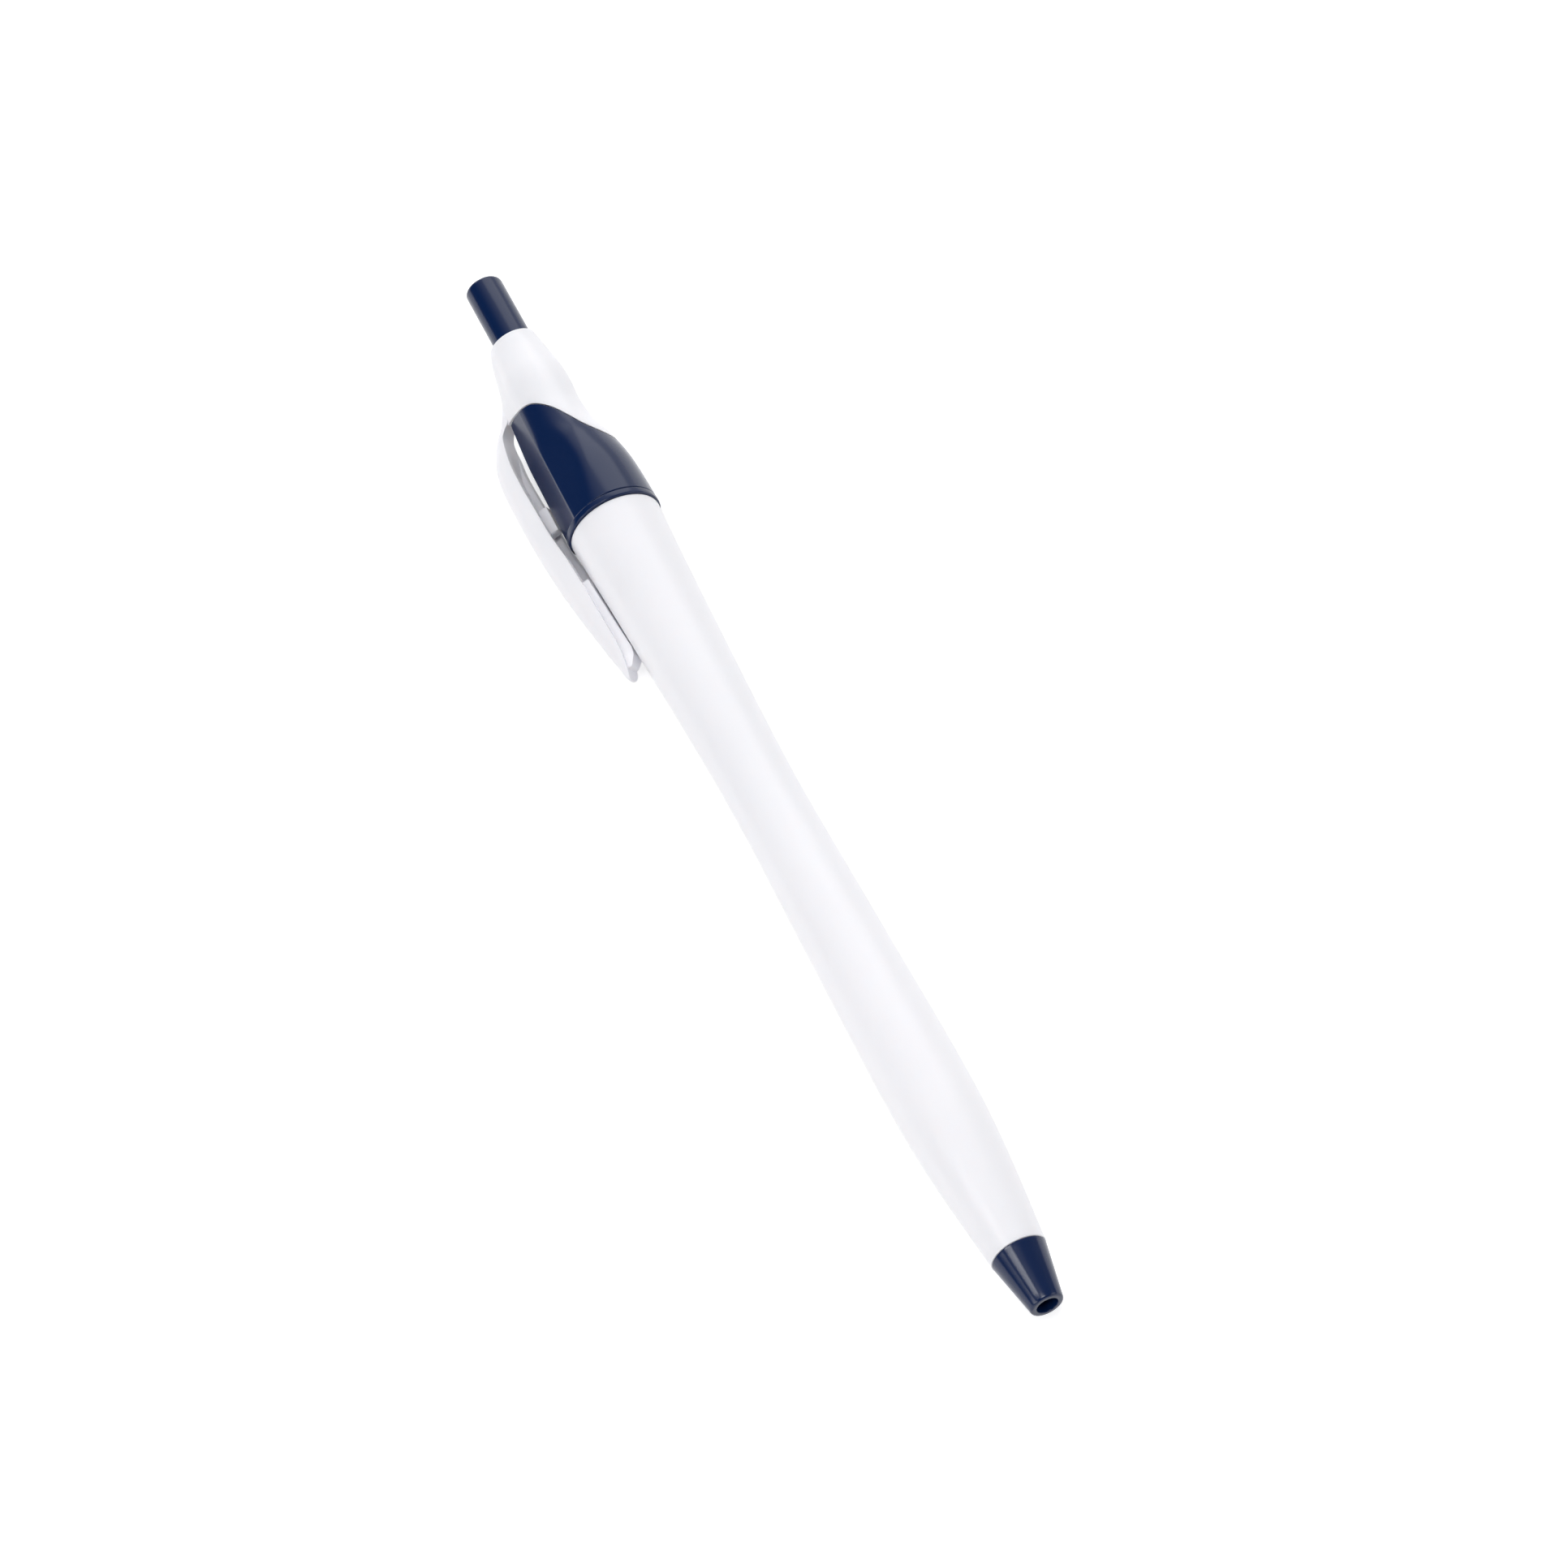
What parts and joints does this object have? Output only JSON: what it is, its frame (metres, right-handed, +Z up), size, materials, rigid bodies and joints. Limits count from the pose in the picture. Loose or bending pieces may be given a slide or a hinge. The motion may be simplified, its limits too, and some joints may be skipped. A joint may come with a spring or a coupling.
{
  "type": "pushbutton ballpoint pen",
  "caption": "Retractable ballpoint pen: white waisted barrel and crown with one-piece pocket clip, navy button, sleeve and nose cone, point retracted.",
  "frame": {"origin": "centre of the push button's end face, on the pen's axis, with the point retracted", "axes": "+X along the pen from the button to the writing end, +Z up as the pen lies on a level surface, and the clip points to -Y, drooping below level until one lower edge of it touches the surface"},
  "size_m": [0.14, 0.0141, 0.0106],
  "materials": {
    "white_plastic": "moulded, soft gloss",
    "navy_plastic": "moulded, gloss",
    "acetal": "natural, satin",
    "refill_plastic": "natural, translucent",
    "ink": "wet",
    "grease": "wet",
    "steel": "drawn wire and ground ball",
    "brass": "turned"
  },
  "bodies": {
    "casing": {"barrel": "white_plastic", "nose_cone": "navy_plastic", "sleeve": "navy_plastic", "crown": "white_plastic", "return_spring": "steel"},
    "clip_blade": {"clip": "white_plastic"},
    "button": {"push_button": "navy_plastic"},
    "refill": {"rotor": "acetal", "refill_tube": "refill_plastic", "ink_column": "ink", "grease_follower": "grease", "point_holder": "brass", "writing_point": "brass", "writing_ball": "steel"}
  },
  "joints": [
    {"name": "button_press", "type": "slide", "parent": "casing", "child": "button", "axis": [1, 0, 0], "range_m": [0, 0.006], "stiffness_N_per_m": 200, "springref_m": -0.01},
    {"name": "refill_feed", "type": "slide", "parent": "casing", "child": "refill", "axis": [1, 0, 0], "range_m": [0, 0.006], "deforming": ["return_spring"]},
    {"name": "clip_flex", "type": "hinge", "parent": "casing", "child": "clip_blade", "pos_m": [0.0175, -0.00495, -0.00188], "axis": [0, 0.3553, -0.9348], "range_deg": [0, 5], "stiffness_Nm_per_rad": 1.5, "springref_deg": -1.15}
  ],
  "couplings": [
    {"joint": "refill_feed", "follows": "button_press", "ratio": 1}
  ]
}
